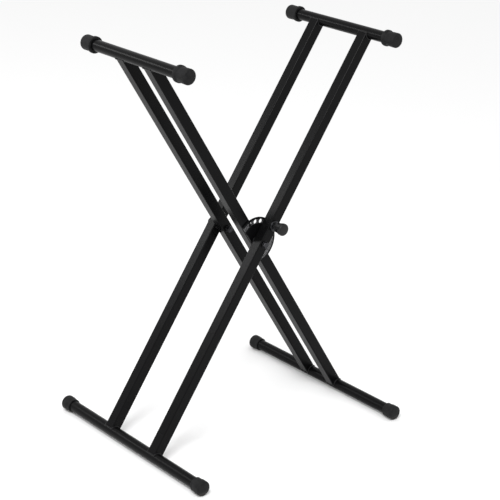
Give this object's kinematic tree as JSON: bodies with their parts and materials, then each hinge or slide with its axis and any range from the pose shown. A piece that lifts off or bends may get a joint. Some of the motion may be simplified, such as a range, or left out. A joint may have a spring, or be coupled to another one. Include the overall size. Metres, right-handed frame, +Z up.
{
  "type": "keyboard stand",
  "caption": "Folding X stand for a keyboard: two crossed tube frames with round arms and feet, rubber end caps, a drilled lock plate and a sprung pull pin.",
  "frame": {"origin": "on the floor, under the middle of the pivot axis, at the middle of the box's underside", "axes": "+X across the two feet, from the outer frame's foot towards the inner frame's foot; +Y along the arms, feet and pivot bolts, away from the lock knob; +Z up"},
  "size_m": [0.6126, 0.507, 0.905],
  "materials": {
    "black_paint": "glossy black powder coat on steel tube",
    "black_rubber": "matte moulded rubber with fine grip texture",
    "black_nylon": "satin black nylon",
    "black_plastic": "satin moulded plastic",
    "blackened_steel": "black zinc plated steel",
    "bright_steel": "bright zinc plated steel"
  },
  "bodies": {
    "outer_frame": {"outer_leg_far": "black_paint", "outer_leg_near": "black_paint", "outer_arm": "black_paint", "outer_foot": "black_paint", "outer_arm_cap_far": "black_rubber", "outer_arm_cap_near": "black_rubber", "outer_foot_cap_far": "black_rubber", "outer_foot_cap_near": "black_rubber", "pivot_bolt_far": "blackened_steel", "pivot_bolt_near": "blackened_steel", "head_washer_far": "blackened_steel", "head_washer_near": "blackened_steel", "nut_washer_far": "blackened_steel", "nut_washer_near": "blackened_steel", "lock_nut_far": "blackened_steel", "lock_nut_near": "blackened_steel", "pivot_spacer_far": "black_nylon", "pivot_spacer_near": "black_nylon", "pin_sleeve": "blackened_steel", "pin_spring": "bright_steel"},
    "inner_frame": {"inner_leg_far": "black_paint", "inner_leg_near": "black_paint", "inner_arm": "black_paint", "inner_foot": "black_paint", "inner_arm_cap_far": "black_rubber", "inner_arm_cap_near": "black_rubber", "inner_foot_cap_far": "black_rubber", "inner_foot_cap_near": "black_rubber", "lock_plate": "black_paint"},
    "pull_pin": {"lock_pin": "bright_steel", "pull_knob": "black_plastic"}
  },
  "joints": [
    {"name": "frame_fold", "type": "hinge", "parent": "outer_frame", "child": "inner_frame", "pos_m": [0, 0, 0.45173], "axis": [0, -1, 0], "range_deg": [-57.45, 38.3]},
    {"name": "pin_slide", "type": "slide", "parent": "outer_frame", "child": "pull_pin", "axis": [0, 1, 0], "range_m": [0, 0.008], "stiffness_N_per_m": 400, "springref_m": 0.02, "deforming": ["pin_spring"]}
  ]
}
